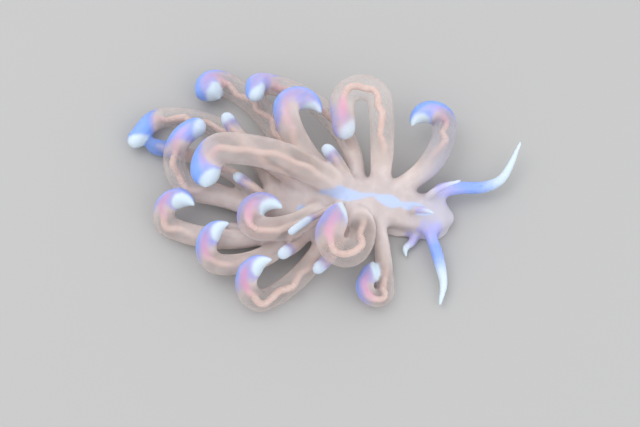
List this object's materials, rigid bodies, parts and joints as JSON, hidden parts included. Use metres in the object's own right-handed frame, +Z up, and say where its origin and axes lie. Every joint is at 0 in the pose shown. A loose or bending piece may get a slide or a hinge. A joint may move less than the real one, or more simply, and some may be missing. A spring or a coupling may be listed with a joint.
{
  "type": "phyllodesmium opalescens sea slug, still life-size model",
  "caption": "Crawling aeolid sea slug with long curled, clear-walled cerata, two oral tentacles and two rhinophores on a flat foot.",
  "frame": {"origin": "centre of the animal's bounding box in plan, on the floor under its foot", "axes": "+X towards the head along the longest extent, +Y to the animal's left, +Z up, along the shortest extent"},
  "size_m": [0.051, 0.0336, 0.01],
  "materials": {
    "skin": "wet, milky, translucent skin with pale blue-white patches on the midline",
    "foot": "wet, thin, translucent skin with a pale edge",
    "feeler": "lavender at the base, pale blue to white towards the tip",
    "ceras_wall": "clear greyish-pink wall over a knobbly beige-pink inner gland",
    "ceras_tip": "opalescent blue-violet with a pinkish core and a white end"
  },
  "bodies": {
    "root": {"head": "skin", "neck": "skin", "body_front": "skin", "body_back": "skin", "tail": "skin", "foot_sole": "foot", "ceras_left_1_shaft": "ceras_wall", "ceras_left_1_tip": "ceras_tip", "ceras_left_2_shaft": "ceras_wall", "ceras_left_2_tip": "ceras_tip", "ceras_left_3_shaft": "ceras_wall", "ceras_left_3_tip": "ceras_tip", "ceras_left_4": "ceras_tip", "ceras_left_5_shaft": "ceras_wall", "ceras_left_5_tip": "ceras_tip", "ceras_left_6_shaft": "ceras_wall", "ceras_left_6_tip": "ceras_tip", "ceras_left_7": "ceras_tip", "ceras_left_8_shaft": "ceras_wall", "ceras_left_8_tip": "ceras_tip", "ceras_left_9": "ceras_tip", "ceras_left_10_shaft": "ceras_wall", "ceras_left_10_tip": "ceras_tip", "ceras_left_11_shaft": "ceras_wall", "ceras_left_11_tip": "ceras_tip", "ceras_left_12": "ceras_tip", "ceras_right_1_shaft": "ceras_wall", "ceras_right_1_tip": "ceras_tip", "ceras_right_2_shaft": "ceras_wall", "ceras_right_2_tip": "ceras_tip", "ceras_right_3": "ceras_tip", "ceras_right_4_shaft": "ceras_wall", "ceras_right_4_tip": "ceras_tip", "ceras_right_5": "ceras_tip", "ceras_right_6_shaft": "ceras_wall", "ceras_right_6_tip": "ceras_tip", "ceras_right_7": "ceras_tip", "ceras_right_8_shaft": "ceras_wall", "ceras_right_8_tip": "ceras_tip", "ceras_right_9_shaft": "ceras_wall", "ceras_right_9_tip": "ceras_tip", "oral_tentacle_left_base": "feeler", "oral_tentacle_left_end": "feeler", "oral_tentacle_right_base": "feeler", "oral_tentacle_right_end": "feeler", "rhinophore_left": "feeler", "rhinophore_right": "feeler", "foot_corner_left": "feeler", "foot_corner_right": "feeler"}
  },
  "joints": []
}
